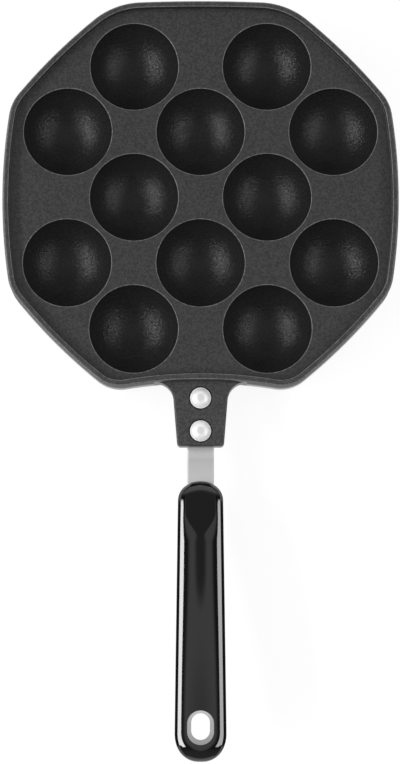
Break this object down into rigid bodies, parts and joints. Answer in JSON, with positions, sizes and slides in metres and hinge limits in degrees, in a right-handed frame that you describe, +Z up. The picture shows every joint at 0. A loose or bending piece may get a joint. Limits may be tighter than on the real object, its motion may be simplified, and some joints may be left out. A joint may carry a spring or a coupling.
{
  "type": "takoyaki pan",
  "caption": "Stovetop pan with round cups in a rimmed, bowed octagonal plate, and a long moulded grip with a hanging hole on a riveted flat tang.",
  "frame": {"origin": "on the surface the pan stands on, under the middle of its whole length", "axes": "+Z up, the handle points along -Y, the plate lies on the +Y side"},
  "size_m": [0.1998, 0.3838, 0.0401],
  "materials": {
    "coated_casting": "cast aluminium, dark matt non-stick coat on the cooking side and the boss, bare outside and below",
    "satin_steel": "satin rolled strip",
    "rivet_aluminium": "bright",
    "bakelite": "glossy moulded black",
    "screw_steel": "plated"
  },
  "bodies": {
    "root": {"pan": "coated_casting", "tang": "satin_steel", "rivet_front": "rivet_aluminium", "rivet_rear": "rivet_aluminium", "grip": "bakelite", "grip_screw": "screw_steel"}
  },
  "joints": []
}
